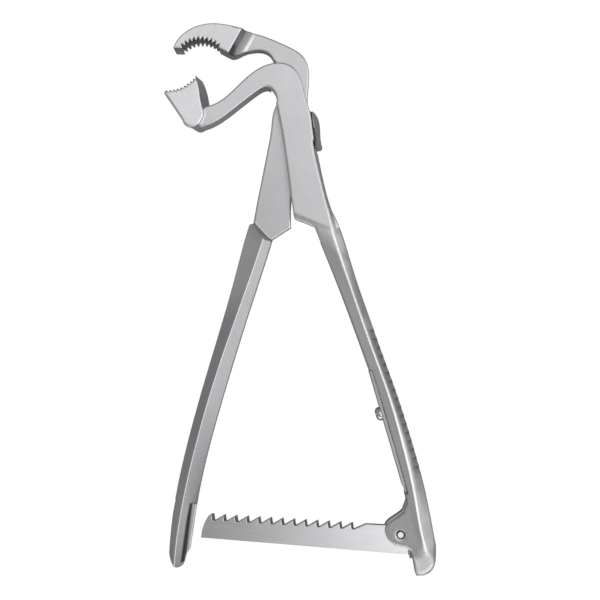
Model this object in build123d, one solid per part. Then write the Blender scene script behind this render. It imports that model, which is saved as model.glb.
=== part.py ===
from build123d import *
import math
import os

# Bone holding forceps with crossed jaws, a half lap joint and a toothed ratchet bar.
# Millimetres. The origin is on the pivot axis, in the plane of the flat backs of both halves.
# +Z points from the backs to the fronts, +Y from the pivot towards the jaws, +X to the right handle.
# Outlines are given from the pivot, in the plane of the forceps, as they are in the open position.

# Main sizes: pivot to the end of the right handle, and how much shorter the left one is
HANDLE_LENGTH = 160.3
LEFT_SHORTER = 3.2
JOINT_LENGTH = 33.0

# Depths, measured up from the flat backs
JOINT_DEPTH = 8.6
JAW_DEPTH = 9.4
LAP_GAP = 0.1
BACK_ROUND = 0.8
EDGE_BEVEL_DEPTH = 1.6
FOOT_BEVEL_DEPTH = 0.4
TAB_EDGE_DEPTH = 4.6
TAB_TOP_DEPTH = 8.3

# Pivot
PIN_RADIUS = 3.0
PIN_HEAD_RADIUS = 4.2
PIN_HEAD_DEPTH = 1.2
PIN_COVER = 1.2
PIN_PLAY = 0.05
PIN_SEAT_PLAY = 0.02

# Slope from the upper jaw's head down to its arm
RAMP_LENGTH = 4.4
RAMP_HOLLOW = 1.0

# Upper jaw teeth, on a hollow arc
UPPER_ARC_X = -32.3
UPPER_ARC_Y = 16.1
UPPER_ROOT_RADIUS = 10.0
UPPER_TOOTH_HEIGHT = 1.3
UPPER_PITCH_ANGLE = 9.3
UPPER_GAP_COUNT = 10
UPPER_FIRST_GAP_ANGLE = 132.5

# Lower jaw: how much its front stands above its arm, and the bevel round it
BLOCK_BEVEL = 0.4

# Lower jaw teeth, on a hollow arc of its own
LOWER_ARC_X = -44.1
LOWER_ARC_Y = 20.4
LOWER_TIP_RADIUS = 13.0
LOWER_TOOTH_HEIGHT = 0.7
LOWER_PITCH_ANGLE = 5.6
LOWER_GAP_COUNT = 9
LOWER_FIRST_GAP_ANGLE = -86.6

# Ratchet bar, hung on its rivet in the fork of the right handle
RIVET_FROM_END = 14.6
RIVET_FROM_OUTSIDE = 11.735
RIVET_RADIUS = 1.2
RIVET_HEAD_RADIUS = 1.35
RIVET_HEAD_HEIGHT = 0.45
RIVET_HEAD_SUNK = 0.3
RIVET_HEAD_PLAY = 0.25
RIVET_PLAY = 0.05
RIVET_SEAT_PLAY = 0.02
BAR_THICKNESS = 2.0
BAR_SIDE_PLAY = 0.15
BAR_LENGTH = 68.9
BAR_DROOP_ANGLE = 0.6
BAR_SLOPE_ANGLE = 4.1
BAR_TAPER_ANGLE = 1.2
BAR_TIP_RISE = 2.75
BAR_TOOTH_PITCH = 4.04
BAR_TOOTH_HEIGHT = 2.3
BAR_TOOTH_COUNT = 13
BAR_TOOTH_LEAN = 0.5
BAR_TOOTH_SLANT = 0.95
BAR_FIRST_TOOTH = 64.9
BAR_BELOW_RIVET = 7.1
BAR_HEEL = 5.0
BAR_HEEL_PLAY = 0.15

# Slot of the left handle, which the bar runs through
SLOT_SIDE_PLAY = 0.2
SLOT_TOP_PLAY = 0.35
SLOT_END_WALL = 1.5

# Leaf spring and its screw
SPRING_THICKNESS = 1.0
SPRING_WIDTH = 4.6
SPRING_END_WIDTH = 1.8
SPRING_END_THICKNESS = 0.7
SPRING_TOP_FROM_END = 71.3
SPRING_BEND_FROM_END = 31.6
SPRING_SEAT_DEPTH = 0.9
SPRING_END_FROM_RIVET = 4.8
SPRING_END_PLAY = 0.35
SPRING_SEAT_PLAY = 0.02
SPRING_TOP_PLAY = 0.1
SCREW_ALONG = 15.4
SCREW_RADIUS = 1.2
SCREW_LENGTH = 4.2
SCREW_HEAD_RADIUS = 2.4
SCREW_HEAD_HEIGHT = 2.0
SCREW_HEAD_ROUND = 1.5
SCREW_SLOT_WIDTH = 0.6
SCREW_SLOT_DEPTH = 0.7
SCREW_PLAY = 0.1

# Cheeks of the fork: depth at the rivet, slope down towards the bar, and the slope of the ground end
CHEEK_DEPTH = 7.4
CHEEK_SLOPE_ANGLE = 9.0
END_SLOPE_ANGLE = 20.0
END_SLOPE_LENGTH = 8.2
FORK_OPENING = 19.2

# Grip grooves across the outer edge of the right handle
GROOVE_COUNT = 17
GROOVES_FROM_END = 84.3
GROOVE_PITCH = 2.95
GROOVE_DEPTH = 0.5
GROOVE_RADIUS = 1.6
GROOVE_LEAN_ANGLE = 27.0

# Sections of the handles: share of the way from the joint to the end, outer side, ridge, inner side, top of the
# outer side, top of the inner side, depth at the ridge before it is rounded, and the radius that rounds it
LEFT_HANDLE = [
    (0.041, -15.6, -9.0, -6.2, 5.2, 6.6, 8.6, 0),
    (0.089, -17.5, -11.1, -7.9, 5.0, 6.5, 8.6, 0),
    (0.224, -22.1, -17.0, -13.4, 4.4, 6.0, 8.6, 0),
    (0.376, -27.8, -23.9, -19.6, 4.2, 5.2, 8.6, 0),
    (0.522, -33.3, -29.9, -25.2, 4.3, 4.6, 8.6, 0),
    (0.709, -39.4, -36.2, -31.6, 4.9, 3.8, 8.5, 0),
    (0.892, -43.1, -40.6, -35.8, 5.7, 3.1, 8.3, 0),
    (0.998, -43.9, -41.8, -38.2, 5.7, 3.1, 8.1, 0),
]

RIGHT_HANDLE = [
    (0.0, 12.5, 11.6, 4.6, 6.8, 8.2, 8.5, 0.3),
    (0.058, 16.0, 13.2, 7.4, 6.0, 8.2, 8.6, 0.3),
    (0.123, 18.7, 15.6, 10.7, 5.6, 7.5, 8.6, 0.35),
    (0.199, 21.7, 18.8, 14.6, 5.4, 6.8, 8.65, 0.4),
    (0.284, 25.5, 22.4, 18.7, 5.2, 6.3, 8.7, 0.45),
    (0.385, 30.1, 26.9, 23.4, 5.1, 6.2, 8.75, 0.55),
    (0.500, 35.4, 32.2, 28.6, 5.0, 6.2, 8.85, 0.9),
    (0.628, 40.6, 36.9, 33.7, 5.0, 6.4, 9.1, 1.7),
    (0.711, 43.6, 39.6, 36.2, 5.0, 6.7, 9.1, 1.7),
    (0.793, 46.1, 41.7, 38.9, 5.0, 7.4, 9.0, 1.4),
    (0.888, 48.4, 44.0, 41.0, 5.2, 7.7, 8.9, 1.1),
    (1.021, 49.6, 45.6, 42.6, 5.2, 7.9, 8.9, 1.1),
]

# Places that follow from the sizes above
LAP_BACK = JOINT_DEPTH / 2 - LAP_GAP / 2
LAP_FRONT = JOINT_DEPTH / 2 + LAP_GAP / 2
MIDDLE = JOINT_DEPTH / 2
BIG = 200.0
UPPER_TIP_RADIUS = UPPER_ROOT_RADIUS - UPPER_TOOTH_HEIGHT
LOWER_ROOT_RADIUS = LOWER_TIP_RADIUS + LOWER_TOOTH_HEIGHT
RIGHT_END_Y = -HANDLE_LENGTH
LEFT_END_Y = -HANDLE_LENGTH + LEFT_SHORTER
PIN_TOP = JOINT_DEPTH - PIN_COVER
ON_TOP = (Align.CENTER, Align.CENTER, Align.MIN)
OUTER, RIDGE, INNER, OUTER_TOP = 1, 2, 3, 4


def station_y(share):
    """How far down a handle a section lies, from its share of the way from the joint to the end."""
    return -(JOINT_LENGTH + share * (HANDLE_LENGTH - JOINT_LENGTH))


def right_at(y, column):
    """A measure of the right handle at a height, straight between its sections."""
    for above, below in zip(RIGHT_HANDLE, RIGHT_HANDLE[1:]):
        top, low = station_y(above[0]), station_y(below[0])
        if low <= y <= top:
            share = (top - y) / (top - low)
            return above[column] + (below[column] - above[column]) * share
    return RIGHT_HANDLE[-1][column]


RIVET_Y = RIGHT_END_Y + RIVET_FROM_END
RIVET_X = right_at(RIVET_Y, OUTER) - RIVET_FROM_OUTSIDE


def polar(centre_x, centre_y, radius, angle):
    """The point at a radius and an angle in degrees from a centre."""
    turn = math.radians(angle)
    return (centre_x + radius * math.cos(turn), centre_y + radius * math.sin(turn))


def outline(*runs):
    """A flat face inside runs of points. A run of two points is straight, a longer one is a smooth curve."""
    edges = []
    for start, run in enumerate(runs):
        last = runs[(start + 1) % len(runs)][0]
        points = list(run) + [last]
        if len(points) == 2:
            edges.append(Line(*points))
        else:
            edges.append(Spline(*points))
    return make_face(edges)


def prism(points, low, high):
    """An upright prism with straight sides over a polygon, between two heights."""
    face = make_face(Polyline(*points, close=True))
    return Pos(0, 0, low) * extrude(face, high - low)


def sloped_cut(low_points, high_points, low, high):
    """A cutter whose outline changes from one polygon to another between two heights."""
    faces = [
        Pos(0, 0, low) * make_face(Polyline(*low_points, close=True)),
        Pos(0, 0, high) * make_face(Polyline(*high_points, close=True)),
    ]
    return loft(faces, ruled=True)


def handle_section(share, outer, ridge, inner, outer_top, inner_top, depth, crown):
    """A level section through a handle: flat back, upright sides and a rounded ridge along the front."""
    y = station_y(share)
    inward = math.copysign(BACK_ROUND, outer - inner)
    points = [
        (outer, y, BACK_ROUND),
        (outer, y, outer_top),
        (ridge, y, depth),
        (inner, y, inner_top),
        (inner, y, BACK_ROUND),
        (inner + inward, y, 0),
        (outer - inward, y, 0),
    ]
    face = make_face(Polyline(*points, close=True))
    if crown:
        face = fillet(face.vertices().sort_by_distance(points[2])[0], crown)
    return face


def handle(stations):
    """A handle drawn smoothly through its sections, from the joint down to its end."""
    return loft([handle_section(*station) for station in stations])


def arc_points(centre_x, centre_y, radius, start, end, count):
    """Points along an arc, between two angles in degrees."""
    step = (end - start) / (count - 1)
    return [polar(centre_x, centre_y, radius, start + step * i) for i in range(count)]


def teeth_cutter(centre_x, centre_y, root, tip, first, pitch, count):
    """Notches between the teeth of a jaw, all pointing at the centre of the jaw's arc."""
    reach = tip + (tip - root) * 0.5
    half = pitch * 0.5
    cutter = []
    for i in range(count):
        middle = first + i * pitch
        points = [
            polar(centre_x, centre_y, root, middle),
            polar(centre_x, centre_y, reach, middle - half * 1.35),
            polar(centre_x, centre_y, reach, middle + half * 1.35),
        ]
        cutter.append(prism(points, -1, JAW_DEPTH + 1))
    return cutter


def back_face():
    """The outline of the rear half above its handle: the upper jaw, its arm and the rear half of the joint."""
    last_gap = UPPER_FIRST_GAP_ANGLE - UPPER_PITCH_ANGLE * (UPPER_GAP_COUNT - 1)
    start_angle = UPPER_FIRST_GAP_ANGLE + UPPER_PITCH_ANGLE * 0.6
    end_angle = last_gap - UPPER_PITCH_ANGLE * 0.6
    mouth = arc_points(UPPER_ARC_X, UPPER_ARC_Y, UPPER_TIP_RADIUS, end_angle, start_angle, 9)
    return outline(
        [(-41.6, 22.0), (-39.3, 25.8), (-34.2, 29.2), (-28.0, 30.4), (-18.0, 28.9), (-12.8, 28.0), (-7.9, 26.3),
         (-1.6, 23.5), (3.1, 20.2), (5.0, 15.1), (5.0, 11.0)],
        [(4.9, 1.5)],
        [(6.8, 0.4), (8.2, -1.6), (8.9, -5.4)],
        [(9.7, -11.6)],
        [(9.1, -12.2)],
        [(4.5, -12.6), (0.9, -20.0), (-1.1, -30.0)],
        [(-1.2, -39.4)],
        [(-8.0, -43.8)],
        [(-12.0, -41.5)],
        [(-14.4, -38.2)],
        [(-13.85, -35.0), (-12.9, -29.8), (-11.45, -22.8), (-9.45, -12.4), (-8.2, -5.4), (-7.0, 2.0), (-4.1, 8.0),
         (-4.2, 12.5)],
        [(-7.5, 19.1), (-10.3, 21.9), (-14.2, 22.2), (-18.2, 21.1), (-20.0, 20.2)],
        [(-22.4, 20.2)],
        mouth[:-1],
        [mouth[-1]],
    )


def ramp_cutter():
    """What stands above the rear half of the joint, with the hollow slope at the back of the jaw's head."""
    upper, lower = Vector(-18.0, 28.9), Vector(-22.5, 20.8)
    along = (upper - lower).normalized()
    across = Vector(along.Y, -along.X)
    plane = Plane(origin=(lower.X, lower.Y, 0), x_dir=(across.X, across.Y, 0), z_dir=(-along.X, -along.Y, 0))
    top, foot = Vector(0, JAW_DEPTH), Vector(RAMP_LENGTH, LAP_BACK)
    slope = (foot - top).normalized()
    hollow = (top + foot) * 0.5 + Vector(slope.Y, -slope.X) * RAMP_HOLLOW
    edges = [
        ThreePointArc(top, hollow, foot),
        Line(foot, (BIG, LAP_BACK)),
        Line((BIG, LAP_BACK), (BIG, JAW_DEPTH + 1)),
        Line((BIG, JAW_DEPTH + 1), (0, JAW_DEPTH + 1)),
        Line((0, JAW_DEPTH + 1), top),
    ]
    return extrude(plane * make_face(edges), BIG, both=True)


def lower_jaw():
    """The block of the lower jaw, with a hollow toothed edge and a sloping side towards its arm."""
    last_gap = LOWER_FIRST_GAP_ANGLE + LOWER_PITCH_ANGLE * (LOWER_GAP_COUNT - 1)
    tip_angle = LOWER_FIRST_GAP_ANGLE - LOWER_PITCH_ANGLE * 0.6
    heel_angle = last_gap + LOWER_PITCH_ANGLE * 0.7
    mouth = arc_points(LOWER_ARC_X, LOWER_ARC_Y, LOWER_TIP_RADIUS, tip_angle, heel_angle, 7)
    levels = [
        (0, 0, [(-32.4, 12.4), (-30.6, 7.7), (-29.8, 3.4), (-29.4, -0.6)],
         [(-29.9, -3.9), (-31.6, -5.2), (-33.0, -5.7), (-34.6, -5.1), (-38.3, -2.6)]),
        (JOINT_DEPTH, 0, [(-33.5, 12.1), (-32.5, 6.9), (-31.7, 2.3), (-31.1, -0.2)],
         [(-31.3, -1.9), (-32.3, -3.4), (-33.6, -4.8), (-35.8, -5.3), (-38.5, -2.9)]),
        (JAW_DEPTH, BLOCK_BEVEL, [(-33.65, 12.1), (-32.8, 6.9), (-32.0, 2.3), (-31.4, -0.1)],
         [(-31.6, -1.7), (-32.5, -3.1), (-33.8, -4.5), (-35.9, -5.0), (-38.4, -2.8)]),
    ]
    sections = []
    for height, inset, far_side, corner in levels:
        edge = [(-45.0 + inset * 0.5, 6.7)]
        face = outline(far_side, corner[:-1], corner[-1:], edge, mouth[:-1], mouth[-1:])
        sections.append(Pos(0, 0, height) * face)
    block = loft(sections, ruled=True)
    block -= teeth_cutter(
        LOWER_ARC_X,
        LOWER_ARC_Y,
        LOWER_ROOT_RADIUS,
        LOWER_TIP_RADIUS,
        LOWER_FIRST_GAP_ANGLE,
        LOWER_PITCH_ANGLE,
        LOWER_GAP_COUNT,
    )
    return block


def back_shoulder(face):
    """The tab beside the joint that stops the forceps from opening further, sloping down to its outer side."""
    tab = extrude(face, TAB_TOP_DEPTH)
    tab &= prism([(5.85, 0.6), (7.6, 2.0), (12, 0), (12, -14), (7.5, -14), (7.15, -9.8), (6.55, -5.5)], 0, BIG)
    slope = sloped_cut(
        [(6.8, 1.6), (8.3, -1.4), (9.0, -5.4), (9.9, -12.8), (14, -14), (14, 2)],
        [(4.6, 1.6), (5.8, -1.4), (6.6, -5.4), (7.6, -12.8), (14, -14), (14, 2)],
        TAB_EDGE_DEPTH,
        TAB_TOP_DEPTH + 0.1,
    )
    return tab - slope


def slot_cutter():
    """The slot through the left handle, with its top on a circle round the pivot that clears the teeth."""
    top = bar_reach() - SLOT_TOP_PLAY
    bottom = LEFT_END_Y + SLOT_END_WALL
    inner, outer = -33.0, -46.0
    points = [
        (inner, -math.sqrt(top**2 - inner**2)),
        (outer, -math.sqrt(top**2 - outer**2)),
        (outer, bottom),
        (inner, bottom),
    ]
    half = BAR_THICKNESS / 2 + SLOT_SIDE_PLAY
    return prism(points, MIDDLE - half, MIDDLE + half)


def back_member():
    """The half with the upper jaw, the rear half of the joint and the left handle."""
    face = back_face()
    body = extrude(face, JAW_DEPTH) - ramp_cutter()
    body -= teeth_cutter(
        UPPER_ARC_X,
        UPPER_ARC_Y,
        UPPER_ROOT_RADIUS,
        UPPER_TIP_RADIUS,
        UPPER_FIRST_GAP_ANGLE - UPPER_PITCH_ANGLE * (UPPER_GAP_COUNT - 1),
        UPPER_PITCH_ANGLE,
        UPPER_GAP_COUNT,
    )
    grip = handle(LEFT_HANDLE)
    end = outline(
        [(-50, -30)],
        [(-50, LEFT_END_Y + 7.1)],
        [(-43.3, LEFT_END_Y + 6.1), (-42.6, LEFT_END_Y + 1.9), (-40.6, LEFT_END_Y)],
        [(-38.6, LEFT_END_Y + 0.7), (-36.6, LEFT_END_Y + 5.1)],
        [(-30, LEFT_END_Y + 7.1)],
        [(0, -30)],
    )
    grip &= extrude(end, JAW_DEPTH)
    grip -= sloped_cut(
        [(-24.0, -27.1), (-9.1, -43.2), (-7.7, -43.9), (2, -43.9), (2, -20), (-24, -20)],
        [(-26.0, -28.4), (-10.5, -43.7), (-7.5, -44.9), (2, -44.9), (2, -20), (-26, -20)],
        LAP_BACK,
        JOINT_DEPTH + 0.2,
    )
    body += back_shoulder(face)
    body += grip
    body -= slot_cutter()
    body -= Pos(0, 0, -1) * Cylinder(PIN_RADIUS + PIN_PLAY, BIG, align=ON_TOP)
    body -= Cone(PIN_HEAD_RADIUS + PIN_PLAY, PIN_RADIUS + PIN_PLAY, PIN_HEAD_DEPTH, align=ON_TOP)
    return body


def front_plate():
    """The front half of the lap joint with the arm of the lower jaw."""
    face = outline(
        [(-31.0, 2.0), (-27.0, 3.2), (-20.3, 8.5), (-13.1, 14.7), (-6.7, 17.1), (-1.6, 16.3), (1.9, 12.1), (3.6, 5.9),
         (5.4, 0.0), (6.2, -5.5)],
        [(6.8, -9.6)],
        [(6.9, -10.3)],
        [(7.3, -12.4)],
        [(8.0, -14.1), (9.95, -23.3), (11.7, -30.1)],
        [(13.4, -35.0)],
        [(15.6, -39.6)],
        [(8.0, -39.7)],
        [(0.3, -36.7)],
        [(-0.3, -35.4), (-1.5, -26.8), (-4.4, -6.2)],
        [(-6.3, 3.1), (-6.9, 6.9), (-9.0, 8.8), (-13.3, 7.1), (-21.9, 0.4), (-26.3, -2.7), (-30.0, -4.5)],
        [(-33.0, -5.2)],
    )
    plate = Pos(0, 0, LAP_FRONT) * extrude(face, JOINT_DEPTH - LAP_FRONT)
    keep = [(-36, -12), (-36, 13.5), (-14.2, 14.4), (-8.2, 9.6), (-8.2, 7.0), (-11.0, 3.0), (-11.0, -12)]
    arm = extrude(face, JOINT_DEPTH) & prism(keep, -1, JOINT_DEPTH + 1)
    edge = sloped_cut(
        [(6.9, -9.7), (8.0, -14.1), (9.95, -23.3), (11.7, -30.1), (13.4, -35.2), (14.7, -40.3), (30, -44), (30, -9.7)],
        [(5.9, -9.7), (6.5, -14.1), (8.7, -23.3), (10.4, -30.1), (11.7, -35.2), (12.8, -40.3), (30, -44), (30, -9.7)],
        JOINT_DEPTH - EDGE_BEVEL_DEPTH,
        JOINT_DEPTH + 0.2,
    )
    foot = sloped_cut(
        [(-2.6, -35.3), (0.3, -36.6), (8.0, -39.8), (12, -41.4), (12, -50), (-2.6, -50)],
        [(-1.8, -33.4), (1.1, -34.7), (8.8, -37.9), (12.6, -39.6), (12.6, -50), (-1.8, -50)],
        JOINT_DEPTH - FOOT_BEVEL_DEPTH,
        JOINT_DEPTH + 0.1,
    )
    return plate + arm - edge - foot


def spring_line():
    """Where the leaf spring lies: the start and the end of its straight seat, and its direction."""
    top_y = RIGHT_END_Y + SPRING_TOP_FROM_END
    bend_y = RIGHT_END_Y + SPRING_BEND_FROM_END
    start = Vector(right_at(top_y, INNER) + SPRING_SEAT_DEPTH, top_y)
    bend = Vector(right_at(bend_y, INNER) + SPRING_SEAT_DEPTH, bend_y)
    return start, bend, (bend - start).normalized()


def spring_seat():
    """The flat cut in the inner side of the right handle that the spring lies on, with a shoulder at its top."""
    start, bend, along = spring_line()
    away = along.rotate(Axis.Z, -90)
    seat = [start - along * SPRING_TOP_PLAY, bend + along * 3]
    beyond = [point + away * 6 for point in reversed(seat)]
    return prism([(p.X, p.Y) for p in seat + beyond], -1, BIG)


def grip_grooves():
    """Shallow grooves across the outer edge of the right handle, deepest at the edge, for the fingers."""
    cutters = []
    for i in range(GROOVE_COUNT):
        y = RIGHT_END_Y + GROOVES_FROM_END - i * GROOVE_PITCH
        out = Vector(math.cos(math.radians(GROOVE_LEAN_ANGLE)), math.sin(math.radians(GROOVE_LEAN_ANGLE)))
        centre = Vector(right_at(y, OUTER), right_at(y, OUTER_TOP)) + out * (GROOVE_RADIUS - GROOVE_DEPTH)
        cutters.append(Pos(centre.X, y, centre.Y) * Rot(0, -GROOVE_LEAN_ANGLE, 0) * Cylinder(GROOVE_RADIUS, 12))
    return cutters


def fork_gap():
    """The gap in the end of the right handle, between its two cheeks, that the bar and spring work in."""
    half = BAR_THICKNESS / 2 + BAR_SIDE_PLAY
    floor = RIVET_X + BAR_HEEL + BAR_HEEL_PLAY
    top = RIVET_Y + FORK_OPENING
    points = [
        (floor - 20, -BIG),
        (floor - 20, top),
        (floor - 3.0, top),
        (floor, RIVET_Y + 7.0),
        (floor + 0.6, RIVET_Y + 1.0),
        (floor + 2.4, RIVET_Y - 1.5),
        (floor + 2.0, RIVET_Y - 6.8),
        (floor + 0.2, RIVET_Y - 12.3),
        (floor + 0.2, -BIG),
    ]
    return prism(points, MIDDLE - half, MIDDLE + half)


def front_cheek():
    """The cheek that carries the front of the bar's rivet, sloping down from the ridge towards the bar."""
    face = outline(
        [(RIVET_X + 1.9, RIVET_Y + 17.7)],
        [(RIVET_X + 2.4, RIVET_Y + 10.9)],
        [(RIVET_X + 1.3, RIVET_Y + 7.8), (RIVET_X - 2.0, RIVET_Y + 5.2), (RIVET_X - 4.8, RIVET_Y + 2.6),
         (RIVET_X - 4.7, RIVET_Y - 0.9), (RIVET_X - 1.8, RIVET_Y - 3.7), (RIVET_X + 2.8, RIVET_Y - 4.9)],
        [(RIVET_X + 4.4, RIVET_Y - 7.3)],
        [(RIVET_X + 5.6, RIGHT_END_Y)],
        [(RIVET_X + 8.0, RIGHT_END_Y)],
        [(RIVET_X + 6.8, RIVET_Y)],
        [(RIVET_X + 4.6, RIVET_Y + 11.7)],
        [(RIVET_X + 2.6, RIVET_Y + 17.7)],
    )
    top = Pos(RIVET_X, RIVET_Y, CHEEK_DEPTH) * Rot(0, -CHEEK_SLOPE_ANGLE, 0)
    under = top * Box(BIG, BIG, BIG, align=(Align.CENTER, Align.CENTER, Align.MAX))
    return extrude(face, JOINT_DEPTH) & under


def front_member():
    """The half with the lower jaw, the front half of the joint and the forked right handle."""
    grip = handle(RIGHT_HANDLE)
    grip += front_cheek()
    end = outline(
        [(0, -30)],
        [(30, RIGHT_END_Y + 8.0)],
        [(41.2, RIGHT_END_Y + 6.3)],
        [(42.3, RIGHT_END_Y)],
        [(44.6, RIGHT_END_Y + 0.1), (47.6, RIGHT_END_Y + 2.1), (49.0, RIGHT_END_Y + 7.3)],
        [(55, RIGHT_END_Y + 20.0)],
        [(55, -30)],
    )
    grip &= extrude(end, JAW_DEPTH)
    recess = prism([(9.2, -44.6), (12.8, -43.9), (17.4, -38.6), (17.4, -28), (2, -28), (2, -44.6)], -1, LAP_FRONT)
    grip -= recess
    slope = Pos(RIVET_X + 8.0, RIGHT_END_Y + END_SLOPE_LENGTH, JOINT_DEPTH) * Rot(END_SLOPE_ANGLE, 0, 0)
    grip -= slope * Box(40, 30, 30, align=(Align.CENTER, Align.MAX, Align.MIN))
    grip -= spring_seat()
    grip -= grip_grooves()
    grip -= fork_gap()
    body = front_plate() + lower_jaw() + grip
    body -= Pos(0, 0, -1) * Cylinder(PIN_RADIUS + PIN_SEAT_PLAY, PIN_TOP + PIN_SEAT_PLAY + 1, align=ON_TOP)
    body -= Pos(RIVET_X, RIVET_Y, MIDDLE) * Cylinder(RIVET_RADIUS + RIVET_SEAT_PLAY, BIG)
    sunk = CHEEK_DEPTH - RIVET_HEAD_SUNK
    body -= Pos(RIVET_X, RIVET_Y, sunk) * Cylinder(RIVET_HEAD_RADIUS + RIVET_HEAD_PLAY, BIG, align=ON_TOP)
    body -= screw_solid(SCREW_PLAY / 2, False)
    return body


def pivot_pin():
    """The pivot: a pin with a sunk head at the back, held blind in the front half."""
    shank = Cylinder(PIN_RADIUS, PIN_TOP, align=ON_TOP)
    head = Cone(PIN_HEAD_RADIUS, PIN_RADIUS, PIN_HEAD_DEPTH, align=ON_TOP)
    return shank + head


def bar_frame():
    """The bar's own frame: its origin on the rivet, X along the tips of its teeth towards the free end."""
    angle = 180 - BAR_SLOPE_ANGLE + BAR_DROOP_ANGLE
    return Pos(RIVET_X, RIVET_Y) * Rot(0, 0, angle) * Rot(180, 0, 0)


def bar_reach():
    """How near the line of the bar's tooth tips comes to the pivot."""
    turn = math.radians(180 - BAR_SLOPE_ANGLE + BAR_DROOP_ANGLE)
    along = Vector(math.cos(turn), math.sin(turn))
    up = Vector(along.Y, -along.X)
    start = Vector(RIVET_X, RIVET_Y) + up * BAR_TIP_RISE
    return abs(start.X * along.Y - start.Y * along.X)


def slant_cutter(steep, root):
    """The wedge that slants the steep face of one tooth, so that it looks to the front."""
    foot = steep - BAR_TOOTH_LEAN
    half = BAR_THICKNESS / 2
    wedge = make_face(Polyline((foot, root, half), (foot + BAR_TOOTH_SLANT, root, -half), (foot, root, -half), close=True))
    return extrude(wedge, BAR_TOOTH_HEIGHT * 1.5, dir=(BAR_TOOTH_LEAN, BAR_TOOTH_HEIGHT, 0))


def ratchet_bar():
    """The toothed bar: ramps face the free end, steep faces face the rivet."""
    rise, root = BAR_TIP_RISE, BAR_TIP_RISE - BAR_TOOTH_HEIGHT
    last_tooth = BAR_FIRST_TOOTH - BAR_TOOTH_PITCH * (BAR_TOOTH_COUNT - 1)
    top = [(BAR_LENGTH - 0.2, -3.1), (BAR_LENGTH - 0.9, -0.5), (BAR_LENGTH - 1.9, 1.5), (BAR_LENGTH - 3.0, 2.5)]
    for i in range(BAR_TOOTH_COUNT):
        steep = BAR_FIRST_TOOTH - i * BAR_TOOTH_PITCH
        top.append((steep, rise))
        top.append((steep - BAR_TOOTH_LEAN, root))
    top.append((last_tooth - BAR_TOOTH_PITCH * 1.1, rise - 0.3))
    top.append((-BAR_HEEL, rise - 0.1))
    slope = math.tan(math.radians(BAR_TAPER_ANGLE))
    low = [
        (-BAR_HEEL, 0.0),
        (-BAR_HEEL + 0.4, -BAR_BELOW_RIVET + 2.6),
        (-BAR_HEEL + 3.0, -BAR_BELOW_RIVET),
        (BAR_LENGTH, -BAR_BELOW_RIVET + slope * BAR_LENGTH),
    ]
    face = make_face(Polyline(*(top + low), close=True))
    bar = extrude(face, BAR_THICKNESS / 2, both=True)
    bar -= [slant_cutter(BAR_FIRST_TOOTH - i * BAR_TOOTH_PITCH, root) for i in range(BAR_TOOTH_COUNT)]
    bar -= Cylinder(RIVET_RADIUS + RIVET_PLAY, BIG)
    return Pos(0, 0, MIDDLE) * bar_frame() * bar


def bar_rivet():
    """The rivet across the fork, flush at the back, with a low round head sunk in the front cheek."""
    sunk = CHEEK_DEPTH - RIVET_HEAD_SUNK
    shank = Pos(RIVET_X, RIVET_Y) * Cylinder(RIVET_RADIUS, sunk, align=ON_TOP)
    head = Cylinder(RIVET_HEAD_RADIUS, RIVET_HEAD_HEIGHT, align=ON_TOP)
    head = fillet(head.edges().sort_by(Axis.Z)[-1], RIVET_HEAD_HEIGHT * 0.6)
    return shank + Pos(RIVET_X, RIVET_Y, sunk) * head


def leaf_spring():
    """The leaf spring: a wide strip on the handle, and a narrow thin end that reaches into the fork."""
    start, bend, along = spring_line()
    away = along.rotate(Axis.Z, -90)
    start += away * SPRING_SEAT_PLAY
    bend += away * SPRING_SEAT_PLAY
    end = Vector(RIVET_X + SPRING_END_FROM_RIVET, spring_end_y())
    wide = [start, bend, bend + away * SPRING_THICKNESS, start + away * SPRING_THICKNESS]
    thin = [bend - along, bend, end, end + Vector(-SPRING_END_THICKNESS, 0), bend + away * SPRING_END_THICKNESS]
    thin.append(bend - along + away * SPRING_END_THICKNESS)
    strip = prism([(p.X, p.Y) for p in wide], MIDDLE - SPRING_WIDTH / 2, MIDDLE + SPRING_WIDTH / 2)
    tongue = prism([(p.X, p.Y) for p in thin], MIDDLE - SPRING_END_WIDTH / 2, MIDDLE + SPRING_END_WIDTH / 2)
    return strip + tongue - screw_solid(SCREW_PLAY, False)


def spring_end_y():
    """The height of the spring's end, just above the bar's heel."""
    heel_top = RIVET_Y + BAR_TIP_RISE - 0.1
    return heel_top + SPRING_END_PLAY


def screw_solid(play, with_head):
    """The screw that holds the spring, square to its seat, with or without its slotted head."""
    start, bend, along = spring_line()
    away = along.rotate(Axis.Z, -90)
    foot = start + along * SCREW_ALONG
    plane = Plane(origin=(foot.X, foot.Y, MIDDLE), x_dir=(0, 0, 1), z_dir=(away.X, away.Y, 0))
    under_head = SPRING_THICKNESS + SPRING_SEAT_PLAY
    shank = Cylinder(SCREW_RADIUS + play, SCREW_LENGTH + under_head, align=(Align.CENTER, Align.CENTER, Align.MAX))
    screw = Pos(0, 0, under_head) * shank
    if with_head:
        head = Cylinder(SCREW_HEAD_RADIUS, SCREW_HEAD_HEIGHT, align=ON_TOP)
        head = fillet(head.edges().sort_by(Axis.Z)[-1], SCREW_HEAD_ROUND)
        head -= Pos(0, 0, SCREW_HEAD_HEIGHT) * Box(BIG, SCREW_SLOT_WIDTH, SCREW_SLOT_DEPTH * 2)
        screw += Pos(0, 0, under_head) * head
    return plane * screw


NODES = {
    "back_member": back_member(),
    "front_member": front_member(),
    "pivot_pin": pivot_pin(),
    "ratchet_bar": ratchet_bar(),
    "bar_rivet": bar_rivet(),
    "leaf_spring": leaf_spring(),
    "spring_screw": screw_solid(0, True),
}

os.makedirs("parts", exist_ok=True)
for name, solid in NODES.items():
    solid.label = name
    export_step(solid, f"parts/{name}.step")
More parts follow.
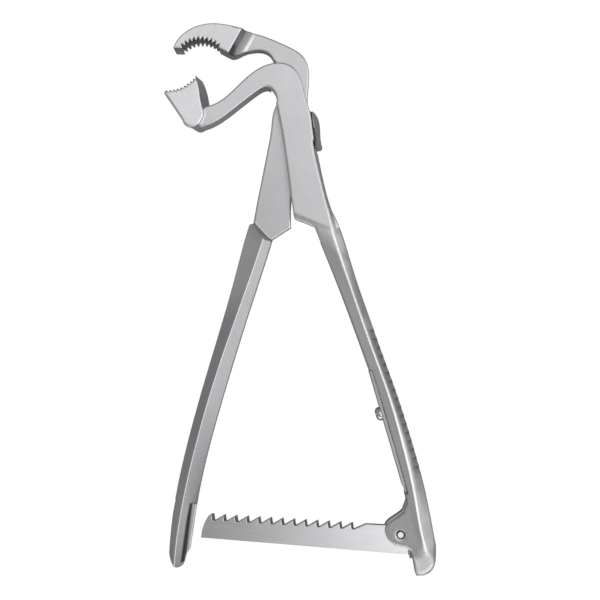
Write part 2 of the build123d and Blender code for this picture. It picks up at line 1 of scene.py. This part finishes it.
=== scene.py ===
"""Looks of a bone holding forceps in satin stainless steel, lying on a white table, seen from straight above.

Everything is in metres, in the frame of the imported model: the origin is on the pivot axis in the plane of the
flat backs, +Z points to the fronts, +Y to the jaws and +X to the handle that carries the ratchet bar.
Names that end in _mm hold millimetres, and names that end in _degrees hold angles.
"""

import logging
import math
from dataclasses import dataclass
from enum import Enum

import bpy
import numpy as np
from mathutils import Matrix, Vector

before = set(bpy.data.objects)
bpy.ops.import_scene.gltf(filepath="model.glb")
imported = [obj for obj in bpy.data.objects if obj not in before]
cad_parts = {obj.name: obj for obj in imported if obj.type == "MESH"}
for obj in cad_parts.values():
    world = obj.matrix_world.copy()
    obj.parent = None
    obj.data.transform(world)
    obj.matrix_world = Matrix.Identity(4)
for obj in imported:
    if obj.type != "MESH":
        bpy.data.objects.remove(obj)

LOG = logging.getLogger("forceps")
MM = 0.001
WELD_MM = 0.0005
EDGE_SAMPLES = 8
CHAMFER_SEGMENTS = 2
WHITE = (1.0, 1.0, 1.0, 1.0)
# The near black that painted shade mixes into the steel's colour.
PAINTED_SHADE_COLOUR = (0.02, 0.02, 0.02, 1.0)
SRGB_KNEE = 0.04045
SRGB_SLOPE = 12.92
SRGB_OFFSET = 0.055
SRGB_POWER = 2.4

Tree = bpy.types.NodeTree
Socket = bpy.types.NodeSocket


def linear(hex_code: str) -> tuple[float, float, float, float]:
    """Turns an sRGB hex colour into a linear colour with full alpha.

    Args:
        hex_code: six hex digits, such as "C8C8CA".

    Returns:
        Red, green, blue and alpha, each from 0 to 1.
    """
    red, green, blue = (
        c / SRGB_SLOPE if c <= SRGB_KNEE else ((c + SRGB_OFFSET) / (1 + SRGB_OFFSET)) ** SRGB_POWER
        for c in (int(hex_code[i:i + 2], 16) / 255 for i in (0, 2, 4))
    )
    return (red, green, blue, 1.0)


def metres(pair_mm: tuple[float, float]) -> tuple[float, float]:
    """Turns a pair of lengths into metres.

    Args:
        pair_mm: two lengths in millimetres.

    Returns:
        The two lengths in metres.
    """
    return (pair_mm[0] * MM, pair_mm[1] * MM)


def add_node(tree: Tree, kind: str, inputs: dict | None = None, **settings: object) -> bpy.types.Node:
    """Adds a node with its settings, values and links.

    Args:
        tree: the node tree that gets the node.
        kind: the node's type name.
        inputs: input name or number to a value, or to the output socket that is linked to it.
        settings: properties of the node, set before its inputs.

    Returns:
        The new node.
    """
    node = tree.nodes.new(kind)
    for name, value in settings.items():
        setattr(node, name, value)
    for name, value in (inputs or {}).items():
        if isinstance(value, Socket):
            tree.links.new(value, node.inputs[name])
        else:
            node.inputs[name].default_value = value
    return node


def calculate(tree: Tree, operation: str, *values: Socket | float) -> Socket:
    """Adds a Math node.

    Args:
        tree: the node tree that gets the node.
        operation: what the node does with its values.
        values: numbers or sockets, in the order of the node's inputs.

    Returns:
        The result socket.
    """
    return add_node(tree, "ShaderNodeMath", dict(enumerate(values)), operation=operation).outputs[0]


def calculate_vector(tree: Tree, operation: str, *values: Socket | Vector | tuple) -> bpy.types.Node:
    """Adds a Vector Math node.

    Args:
        tree: the node tree that gets the node.
        operation: what the node does with its values.
        values: vectors or sockets, in the order of the node's inputs.

    Returns:
        The node, with its result in the output Vector or Value.
    """
    return add_node(tree, "ShaderNodeVectorMath", dict(enumerate(values)), operation=operation)


def fade(
    tree: Tree,
    value: Socket,
    span: tuple[float, float],
    results: tuple[float, float],
    interpolation: str = "LINEAR",
) -> Socket:
    """Adds a Map Range node.

    Args:
        tree: the node tree that gets the node.
        value: what is mapped.
        span: the values that give the first and the second result.
        results: the result at each end of the span, which also holds beyond that end.
        interpolation: how the result changes in between.

    Returns:
        The result socket.
    """
    inputs = {"Value": value, 1: span[0], 2: span[1], 3: results[0], 4: results[1]}
    return add_node(tree, "ShaderNodeMapRange", inputs, interpolation_type=interpolation).outputs["Result"]


def between(tree: Tree, value: Socket, span_mm: tuple[float, float]) -> Socket:
    """Tells where a coordinate lies between two levels.

    Args:
        tree: the node tree that gets the node.
        value: the coordinate.
        span_mm: the lower and the upper level.

    Returns:
        A socket that is 1 between the levels and 0 elsewhere.
    """
    middle = (span_mm[0] + span_mm[1]) / 2 * MM
    half = (span_mm[1] - span_mm[0]) / 2 * MM
    return calculate(tree, "COMPARE", value, middle, half)


def read_all(items: bpy.types.bpy_prop_collection, name: str, kind: type, width: int) -> np.ndarray:
    """Reads one property of all items of a mesh.

    Args:
        items: vertices, edges, loops or polygons.
        name: the property.
        kind: the type of its numbers.
        width: how many numbers an item has.

    Returns:
        The numbers, with a row for each item, or a flat array where the width is 1.
    """
    numbers = np.empty(len(items) * width, dtype=kind)
    items.foreach_get(name, numbers)
    return numbers.reshape(-1, width) if width > 1 else numbers


def number_rows(rows: np.ndarray) -> np.ndarray:
    """Numbers the rows of an array, with one number for all rows that are alike.

    Args:
        rows: the rows.

    Returns:
        A number for each row, counted from 0.
    """
    return np.unique(rows, axis=0, return_inverse=True)[1].reshape(-1)


class Lay(Enum):
    """Which way the brushing runs on a piece, in degrees from +Y, turned towards +X."""

    LEFT_HANDLE = 17.3
    RIGHT_HANDLE = -17.6
    UPRIGHT = 0.0
    RATCHET_BAR = 94.7


@dataclass(frozen=True)
class PaintedShadeFace:
    """The steel between two levels and beyond a line across, darkened a little as painted shade.

    Attributes:
        levels_mm: the lower and the upper level, over the flat backs.
        above_y_mm: the y from which it starts.
        dark: how dark the painted shade is, as a share of the near black that it mixes in.
    """

    levels_mm: tuple[float, float]
    above_y_mm: float
    dark: float

    def shade(self, tree: Tree, place: Socket) -> Socket:
        """Gives the darkness of this painted shade.

        Args:
            tree: the material's node tree.
            place: Object coordinates.

        Returns:
            A socket that is 0 everywhere else.
        """
        parts = add_node(tree, "ShaderNodeSeparateXYZ", {0: place}).outputs
        level = between(tree, parts["Z"], self.levels_mm)
        beyond = calculate(tree, "GREATER_THAN", parts["Y"], self.above_y_mm * MM)
        there = calculate(tree, "MULTIPLY", level, beyond)
        return calculate(tree, "MULTIPLY", there, self.dark)


@dataclass(frozen=True)
class SatinSteel:
    """Martensitic stainless steel, ground and then brushed to satin, so that its highlights are soft.

    Attributes:
        name: the material's name.
        lay: which way the brush lines run.
        colour: the steel's sRGB colour.
        roughness: its middle roughness.
        roughness_spread: how far the brush lines move the roughness up and down.
        brush_pitch_mm: the size of the lines across.
        brush_length_mm: the size of the lines along.
        brush_height_mm: the distance setting of the bump that the lines make.
        brush_depth: the strength of that bump.
        brush_detail: the detail of the lines' noise.
        brush_grain: the roughness of the lines' noise.
        brush_levels: the noise values that give the least and the most roughness.
        cloud_mm: the size of the clouds.
        cloud_share: how much darker the darkest cloud is.
        cloud_detail: the detail of the clouds' noise.
        cloud_grain: the roughness of the clouds' noise.
        edge_mm: how wide the shading of the edges is rounded.
        painted_shade_faces: where painted shade darkens the steel.
    """

    name: str
    lay: Lay
    colour: str = "CFCFD1"
    roughness: float = 0.3
    roughness_spread: float = 0.05
    brush_pitch_mm: float = 0.16
    brush_length_mm: float = 14.0
    brush_height_mm: float = 0.02
    brush_depth: float = 0.05
    brush_detail: float = 3.0
    brush_grain: float = 0.6
    brush_levels: tuple[float, float] = (0.3, 0.7)
    cloud_mm: float = 14.0
    cloud_share: float = 0.16
    cloud_detail: float = 2.0
    cloud_grain: float = 0.5
    edge_mm: float = 0.7
    painted_shade_faces: tuple[PaintedShadeFace, ...] = ()

    def painted_shade(self, tree: Tree, place: Socket) -> Socket | float:
        """Says how dark the painted shade makes each place, besides the even tone of the steel.

        Args:
            tree: the material's node tree.
            place: Object coordinates.

        Returns:
            A socket or a number from 0, the plain steel, to 1, fully darkened by painted shade.
        """
        total = 0.0
        for face in self.painted_shade_faces:
            total = calculate(tree, "ADD", total, face.shade(tree, place))
        return total

    def rounding(self, tree: Tree, place: Socket) -> Socket | float:
        """Says how wide the shading of the edges is rounded.

        Args:
            tree: the material's node tree.
            place: Object coordinates.

        Returns:
            A socket or a number, in metres.
        """
        return self.edge_mm * MM

    def tone(self, tree: Tree, place: Socket) -> Socket:
        """Gives the steel its colour, in faint clouds, with its painted shade.

        Args:
            tree: the material's node tree.
            place: Object coordinates.

        Returns:
            The colour socket.
        """
        clouds = add_node(
            tree,
            "ShaderNodeTexNoise",
            {
                "Vector": place,
                "Scale": 1 / (self.cloud_mm * MM),
                "Detail": self.cloud_detail,
                "Roughness": self.cloud_grain,
            },
        ).outputs["Fac"]
        base = linear(self.colour)
        dark = tuple(c * (1 - self.cloud_share) for c in base[:3]) + (1.0,)
        even = add_node(tree, "ShaderNodeMix", {0: clouds, 6: dark, 7: base}, data_type="RGBA").outputs[2]
        # Painted shade: the colour is mixed towards near black by the shading mask.
        shade_mix = {0: self.painted_shade(tree, place), 6: even, 7: PAINTED_SHADE_COLOUR}
        return add_node(tree, "ShaderNodeMix", shade_mix, data_type="RGBA").outputs[2]

    def brushing(self, tree: Tree, place: Socket) -> Socket:
        """Draws the fine lines of the brush along the lay.

        Args:
            tree: the material's node tree.
            place: Object coordinates.

        Returns:
            The height of the lines, mostly within the brush levels.
        """
        turned = add_node(
            tree,
            "ShaderNodeMapping",
            {"Vector": place, "Rotation": (0.0, 0.0, math.radians(self.lay.value))},
        ).outputs["Vector"]
        across = 1 / (self.brush_pitch_mm * MM)
        along = 1 / (self.brush_length_mm * MM)
        stretched = calculate_vector(tree, "MULTIPLY", turned, (across, along, across)).outputs["Vector"]
        return add_node(
            tree,
            "ShaderNodeTexNoise",
            {"Vector": stretched, "Scale": 1.0, "Detail": self.brush_detail, "Roughness": self.brush_grain},
        ).outputs["Fac"]

    def material(self) -> bpy.types.Material:
        """Builds the finish as a node material on Object coordinates.

        Returns:
            The material.
        """
        made = bpy.data.materials.new(self.name)
        made.use_nodes = True
        tree = made.node_tree
        tree.nodes.clear()
        place = add_node(tree, "ShaderNodeTexCoord").outputs["Object"]
        lines = self.brushing(tree, place)
        spread = (self.roughness - self.roughness_spread, self.roughness + self.roughness_spread)
        sheen = fade(tree, lines, self.brush_levels, spread)
        radius = {"Radius": self.rounding(tree, place)}
        edge = add_node(tree, "ShaderNodeBevel", radius, samples=EDGE_SAMPLES).outputs["Normal"]
        height = self.brush_height_mm * MM
        bump = add_node(
            tree,
            "ShaderNodeBump",
            {"Strength": self.brush_depth, "Distance": height, "Height": lines, "Normal": edge},
        ).outputs["Normal"]
        shader = add_node(
            tree,
            "ShaderNodeBsdfPrincipled",
            {"Base Color": self.tone(tree, place), "Metallic": 1.0, "Roughness": sheen, "Normal": bump},
        ).outputs["BSDF"]
        add_node(tree, "ShaderNodeOutputMaterial", {"Surface": shader})
        return made


@dataclass(frozen=True)
class SlottedSteel(SatinSteel):
    """The finish of the half with the slot, with a painted shadow on the slot's floor beside its wall.

    Attributes:
        floor_mm: the level of the slot's floor.
        floor_play_mm: how far from that level a face still counts as the floor.
        wall_mm: x and y of a point on the slot's left wall.
        wall_lean: how far the wall goes to the right for each length upwards.
        shadow_mm: the distances from the wall where the painted shadow starts to fade and where it ends.
        slot_shadow: the strength of the painted shadow beside the wall.
    """

    floor_mm: float = 3.1
    floor_play_mm: float = 0.03
    wall_mm: tuple[float, float] = (-37.26, -141.5)
    wall_lean: float = 0.12
    shadow_mm: tuple[float, float] = (0.6, 1.15)
    slot_shadow: float = 0.85

    def painted_shade(self, tree: Tree, place: Socket) -> Socket:
        """Paints a shadow on the floor of the slot beside its wall.

        Args:
            tree: the material's node tree.
            place: Object coordinates.

        Returns:
            A socket from 0 to 1.
        """
        parts = add_node(tree, "ShaderNodeSeparateXYZ", {0: place}).outputs
        low = calculate(tree, "COMPARE", parts["Z"], self.floor_mm * MM, self.floor_play_mm * MM)
        start = (self.wall_mm[0] - self.wall_lean * self.wall_mm[1]) * MM
        wall = calculate(tree, "MULTIPLY_ADD", parts["Y"], self.wall_lean, start)
        away = calculate(tree, "SUBTRACT", parts["X"], wall)
        # Painted shadow on the slot's floor, strongest beside the wall.
        near = fade(tree, away, metres(self.shadow_mm), (self.slot_shadow, 0.0))
        floor = calculate(tree, "MULTIPLY", near, low)
        return calculate(tree, "ADD", floor, super().painted_shade(tree, place))


@dataclass(frozen=True)
class GrippedSteel(SatinSteel):
    """The finish of the half with the soft round handle, with painted shade on the upper side of each grip
    groove.

    Attributes:
        handle_edge_mm: how wide the shading of the handle's edges is rounded.
        handle_mm: the y where the width starts to change to that of the handle, and where it has it.
        end_edge_mm: how wide the shading of the edges of the handle's end is rounded.
        end_mm: the y where the width starts to change to that of the end, and where it has it.
        grip_mm: the y of the lower and the upper end of the row of grooves.
        grip_pitch_mm: the distance from groove to groove.
        grip_top_mm: the levels between which the painted shade fades out towards the front.
        grip_slope: how far to the right a face has to look to get the painted shade.
        grip_fade: the shares of the pitch between which the painted shade fades out down the groove.
        grip_shade: the painted shade at the upper side of a groove.
    """

    handle_edge_mm: float = 1.4
    handle_mm: tuple[float, float] = (-30.0, -45.0)
    end_edge_mm: float = 3.0
    end_mm: tuple[float, float] = (-147.0, -151.0)
    grip_mm: tuple[float, float] = (-124.99, -74.84)
    grip_pitch_mm: float = 2.95
    grip_top_mm: tuple[float, float] = (6.2, 7.5)
    grip_slope: float = 0.1
    grip_fade: tuple[float, float] = (0.08, 0.6)
    grip_shade: float = 0.48

    def rounding(self, tree: Tree, place: Socket) -> Socket:
        """Rounds the edges of the handle more than those of the plate, and those of its end most.

        Args:
            tree: the material's node tree.
            place: Object coordinates.

        Returns:
            A socket, in metres.
        """
        along = add_node(tree, "ShaderNodeSeparateXYZ", {0: place}).outputs["Y"]
        widths = metres((self.edge_mm, self.handle_edge_mm))
        handle = fade(tree, along, metres(self.handle_mm), widths)
        extra = (0.0, (self.end_edge_mm - self.handle_edge_mm) * MM)
        end = fade(tree, along, metres(self.end_mm), extra)
        return calculate(tree, "ADD", handle, end)

    def painted_shade(self, tree: Tree, place: Socket) -> Socket:
        """Paints shade on the upper side of each grip groove.

        Args:
            tree: the material's node tree.
            place: Object coordinates.

        Returns:
            A socket from 0 to 1.
        """
        seen = add_node(tree, "ShaderNodeNewGeometry").outputs["True Normal"]
        own = add_node(
            tree,
            "ShaderNodeVectorTransform",
            {0: seen},
            vector_type="NORMAL",
            convert_from="WORLD",
            convert_to="OBJECT",
        ).outputs[0]
        across = add_node(tree, "ShaderNodeSeparateXYZ", {0: own}).outputs["X"]
        outer = calculate(tree, "GREATER_THAN", across, self.grip_slope)
        parts = add_node(tree, "ShaderNodeSeparateXYZ", {0: place}).outputs
        low = fade(tree, parts["Z"], metres(self.grip_top_mm), (1.0, 0.0), "SMOOTHSTEP")
        within = between(tree, parts["Y"], self.grip_mm)
        grooves_a_metre = -1 / (self.grip_pitch_mm * MM)
        first = self.grip_mm[1] / self.grip_pitch_mm
        passed = calculate(tree, "MULTIPLY_ADD", parts["Y"], grooves_a_metre, first)
        share = calculate(tree, "FRACT", passed)
        # Painted shade on the upper side of each groove, fading down the groove.
        step = fade(tree, share, self.grip_fade, (self.grip_shade, 0.0), "SMOOTHSTEP")
        there = calculate(tree, "MULTIPLY", outer, within)
        deep = calculate(tree, "MULTIPLY", there, low)
        grooves = calculate(tree, "MULTIPLY", step, deep)
        return calculate(tree, "ADD", grooves, super().painted_shade(tree, place))


@dataclass(frozen=True)
class RivetedSteel(SatinSteel):
    """The finish of a rivet, with painted shade in the seam round its head.

    Attributes:
        centre_mm: x and y of the rivet's axis.
        seam_mm: the radii between which the painted shade comes in.
        seam_shade: the painted shade at the rim.
    """

    centre_mm: tuple[float, float] = (36.6, -145.7)
    seam_mm: tuple[float, float] = (0.85, 1.1)
    seam_shade: float = 0.85

    def painted_shade(self, tree: Tree, place: Socket) -> Socket:
        """Paints shade on the rim of the head.

        Args:
            tree: the material's node tree.
            place: Object coordinates.

        Returns:
            A socket from 0 to 1.
        """
        centre = metres(self.centre_mm) + (0.0,)
        offset = calculate_vector(tree, "SUBTRACT", place, centre).outputs["Vector"]
        flat = calculate_vector(tree, "MULTIPLY", offset, (1.0, 1.0, 0.0)).outputs["Vector"]
        away = calculate_vector(tree, "LENGTH", flat).outputs["Value"]
        # Painted shade in the seam round the rivet's head.
        return fade(tree, away, metres(self.seam_mm), (0.0, self.seam_shade))


@dataclass(frozen=True)
class DressedNode:
    """A CAD node with crisp facets, a finish, and square edges broken a little where a grinder does it.

    Attributes:
        node: the name of the CAD node.
        finish: its material.
        crisp_degrees: the turn from face to face above which their edge is drawn sharp.
        chamfer_mm: the width setting of the chamfers.
        chamfer_degrees: the turn from face to face above which their edge can get a chamfer.
        chamfer_above_mm: the y above which edges get one, or None where the node has none.
        chamfer_right_of_mm: the x to the right of which edges get one.
    """

    node: str
    finish: SatinSteel
    crisp_degrees: float = 24.0
    chamfer_mm: float = 0.3
    chamfer_degrees: float = 70.0
    chamfer_above_mm: float | None = None
    chamfer_right_of_mm: float = -math.inf

    def mark_edges(self, mesh: bpy.types.Mesh) -> None:
        """Marks the square edges that get a chamfer.

        Args:
            mesh: the node's mesh, in which two faces beside each other can have vertices of their own.
        """
        points = read_all(mesh.vertices, "co", float, 3)
        ends = read_all(mesh.edges, "vertices", np.int64, 2)
        edge_of_corner = read_all(mesh.loops, "edge_index", np.int64, 1)
        corners_of_face = read_all(mesh.polygons, "loop_total", np.int64, 1)
        normals = read_all(mesh.polygons, "normal", float, 3)
        welded = number_rows(np.round(points / (WELD_MM * MM)).astype(np.int64))
        group = number_rows(np.sort(welded[ends], axis=1))
        total = np.zeros((group.max() + 1, 3))
        uses = np.zeros(group.max() + 1)
        np.add.at(total, group[edge_of_corner], np.repeat(normals, corners_of_face, axis=0))
        np.add.at(uses, group[edge_of_corner], 1)
        length = np.linalg.norm(total, axis=1)
        turn = np.degrees(2 * np.arccos(np.clip(length / 2, 0, 1)))
        square = (uses == 2) & (turn > self.chamfer_degrees)
        left, bottom = points[ends].min(axis=1)[:, :2].T
        within = (bottom > self.chamfer_above_mm * MM) & (left > self.chamfer_right_of_mm * MM)
        weight = (square[group] & within).astype(np.float32)
        mesh.attributes.new("bevel_weight_edge", "FLOAT", "EDGE").data.foreach_set("value", weight)

    def dress(self) -> bpy.types.Object:
        """Gives the node its edges and its material.

        Returns:
            The node's object.
        """
        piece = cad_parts[self.node]
        mesh = piece.data
        mesh.materials.clear()
        mesh.materials.append(self.finish.material())
        weld = piece.modifiers.new("Weld", "WELD")
        weld.merge_threshold = WELD_MM * MM
        if self.chamfer_above_mm is not None:
            self.mark_edges(mesh)
            edges = piece.modifiers.new("Edges", "BEVEL")
            edges.width = self.chamfer_mm * MM
            edges.segments = CHAMFER_SEGMENTS
            edges.limit_method = "WEIGHT"
            edges.use_clamp_overlap = False
        crisp = piece.modifiers.new("Crisp", "EDGE_SPLIT")
        crisp.split_angle = math.radians(self.crisp_degrees)
        crisp.use_edge_sharp = False
        return piece


@dataclass(frozen=True)
class Card:
    """A soft patch of light in the surroundings, full within one angle and gone beyond the other.

    Attributes:
        toward: the direction of its middle.
        full_degrees: the angle from its middle within which it is full.
        gone_degrees: the angle from its middle beyond which it is gone.
        strength: its strength, where 1 is white.
    """

    toward: tuple[float, float, float]
    full_degrees: float
    gone_degrees: float
    strength: float

    def glow(self, tree: Tree, way: Socket) -> Socket:
        """Gives the light that comes from each direction.

        Args:
            tree: the world's node tree.
            way: the direction.

        Returns:
            A socket from 0 to the card's strength.
        """
        near = calculate_vector(tree, "DOT_PRODUCT", way, Vector(self.toward).normalized()).outputs["Value"]
        gone, full = (math.cos(math.radians(angle)) for angle in (self.gone_degrees, self.full_degrees))
        return fade(tree, near, (gone, full), (0.0, self.strength), "SMOOTHSTEP")


@dataclass(frozen=True)
class Studio:
    """The table, the soft light around it and the camera straight above.

    Attributes:
        camera_place_mm: where the camera stands.
        sensor_mm: the width of its sensor.
        clip_mm: the nearest and the furthest distance that it sees.
        view_width_mm: how wide a strip it sees at the view depth.
        view_depth_mm: the distance at which that width holds.
        table_mm: the side of the table.
        table_drop_mm: how far the table lies under the flat backs.
        board: the table's sRGB colour to all but the camera.
        white_strength: the strength of its white.
        white_share: the share of that white in what the camera sees.
        mirrored_share: how much of the camera's white the mirrored rays get.
        zenith: the strength of the even sky.
        cards: the soft patches of light in the sky.
    """

    camera_place_mm: tuple[float, float, float] = (1.89, -64.6, 350.0)
    sensor_mm: float = 36.0
    clip_mm: tuple[float, float] = (10.0, 20000.0)
    view_width_mm: float = 206.16
    view_depth_mm: float = 341.0
    table_mm: float = 3000.0
    table_drop_mm: float = 0.02
    board: str = "88888A"
    white_strength: float = 1.1
    white_share: float = 0.9
    mirrored_share: float = 0.08
    zenith: float = 0.38
    cards: tuple[Card, ...] = (
        Card((-0.105, 0.364, 1.0), 8.0, 22.0, 1.04),
        Card((0.466, -0.26, 1.0), 15.0, 29.0, 1.3),
        Card((0.445, 0.21, 1.0), 8.0, 18.0, 1.3),
        Card((0.35, -0.93, 0.12), 16.0, 36.0, 1.3),
        Card((-0.35, -0.93, 0.12), 16.0, 34.0, 1.1),
        Card((0.9, -0.02, 0.37), 32.0, 55.0, 0.56),
        Card((-0.9, -0.2, 0.3), 25.0, 45.0, 0.12),
    )

    def camera(self) -> None:
        """Puts the camera where the photograph was taken from."""
        data = bpy.data.cameras.new("camera")
        data.sensor_width = self.sensor_mm
        data.lens = data.sensor_width * self.view_depth_mm / self.view_width_mm
        data.clip_start, data.clip_end = metres(self.clip_mm)
        eye = bpy.data.objects.new("camera", data)
        eye.location = Vector(self.camera_place_mm) * MM
        bpy.context.scene.collection.objects.link(eye)
        bpy.context.scene.camera = eye

    def table(self) -> None:
        """Lays the table: white to the camera, and grey with a little of that white to mirrored rays."""
        half = self.table_mm * MM / 2
        mesh = bpy.data.meshes.new("table")
        corners = [(-half, -half, 0.0), (half, -half, 0.0), (half, half, 0.0), (-half, half, 0.0)]
        mesh.from_pydata(corners, [], [(0, 1, 2, 3)])
        board = bpy.data.objects.new("table", mesh)
        board.location.z = -self.table_drop_mm * MM
        bpy.context.scene.collection.objects.link(board)
        made = bpy.data.materials.new("table_board")
        made.use_nodes = True
        tree = made.node_tree
        tree.nodes.clear()
        rays = add_node(tree, "ShaderNodeLightPath").outputs
        mirrored = calculate(tree, "ADD", rays["Is Glossy Ray"], rays["Is Transmission Ray"])
        seen = calculate(tree, "MULTIPLY_ADD", mirrored, self.mirrored_share, rays["Is Camera Ray"])
        lit = calculate(tree, "MULTIPLY", seen, self.white_share)
        matt = add_node(tree, "ShaderNodeBsdfDiffuse", {"Color": linear(self.board)}).outputs["BSDF"]
        glow = {"Color": WHITE, "Strength": self.white_strength}
        white = add_node(tree, "ShaderNodeEmission", glow).outputs["Emission"]
        mixed = add_node(tree, "ShaderNodeMixShader", {0: lit, 1: matt, 2: white}).outputs["Shader"]
        add_node(tree, "ShaderNodeOutputMaterial", {"Surface": mixed})
        mesh.materials.append(made)

    def light(self) -> None:
        """Lights the object from the cards and an even sky, which the camera sees as plain white."""
        world = bpy.data.worlds.new("studio")
        bpy.context.scene.world = world
        world.use_nodes = True
        tree = world.node_tree
        tree.nodes.clear()
        way = add_node(tree, "ShaderNodeTexCoord").outputs["Generated"]
        level = self.zenith
        for card in self.cards:
            level = calculate(tree, "ADD", card.glow(tree, way), level)
        sky, plain = (
            add_node(tree, "ShaderNodeBackground", {"Color": WHITE, "Strength": strength}).outputs[0]
            for strength in (level, 1.0)
        )
        seen = add_node(tree, "ShaderNodeLightPath").outputs["Is Camera Ray"]
        background = add_node(tree, "ShaderNodeMixShader", {0: seen, 1: sky, 2: plain}).outputs["Shader"]
        add_node(tree, "ShaderNodeOutputWorld", {"Surface": background})


PIECES = (
    DressedNode(
        "back_member",
        SlottedSteel(
            "back_half_satin_steel",
            Lay.LEFT_HANDLE,
            # Painted shade: this half's colour is a little darker than the front half's, and its lap face and
            # jaw head are darkened more.
            colour="C9C9CB",
            painted_shade_faces=(PaintedShadeFace((4.0, 4.5), -46.0, 0.16), PaintedShadeFace((4.6, 9.3), 14.0, 0.4)),
        ),
        chamfer_mm=0.4,
        chamfer_above_mm=-46.0,
        chamfer_right_of_mm=-21.0,
    ),
    DressedNode(
        "front_member",
        GrippedSteel(
            "front_half_satin_steel",
            Lay.RIGHT_HANDLE,
            edge_mm=1.0,
            # Painted shade: the front faces at this level, above the handle, are darkened a little.
            painted_shade_faces=(PaintedShadeFace((8.5, 8.7), -40.0, 0.16),),
        ),
        chamfer_above_mm=-31.0,
    ),
    DressedNode("pivot_pin", SatinSteel("pivot_satin_steel", Lay.UPRIGHT)),
    DressedNode("ratchet_bar", SatinSteel("bar_satin_steel", Lay.RATCHET_BAR, roughness=0.2, edge_mm=0.3)),
    DressedNode("bar_rivet", RivetedSteel("rivet_steel", Lay.UPRIGHT, roughness=0.2, edge_mm=0.3)),
    DressedNode(
        "leaf_spring",
        SatinSteel("spring_steel", Lay.RIGHT_HANDLE, colour="9C9C9E", roughness=0.2, edge_mm=0.2),
    ),
    DressedNode("spring_screw", SatinSteel("screw_steel", Lay.UPRIGHT, roughness=0.2, edge_mm=0.2)),
)


def main() -> None:
    """Builds the studio and dresses every piece of the forceps."""
    logging.basicConfig(level=logging.INFO, format="%(message)s")
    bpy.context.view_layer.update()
    bpy.context.scene.view_settings.view_transform = "Standard"
    studio = Studio()
    studio.camera()
    studio.table()
    studio.light()
    for piece in PIECES:
        made = piece.dress()
        LOG.info("%s: %s", made.name, piece.finish.name)


if __name__ == "__main__":
    main()
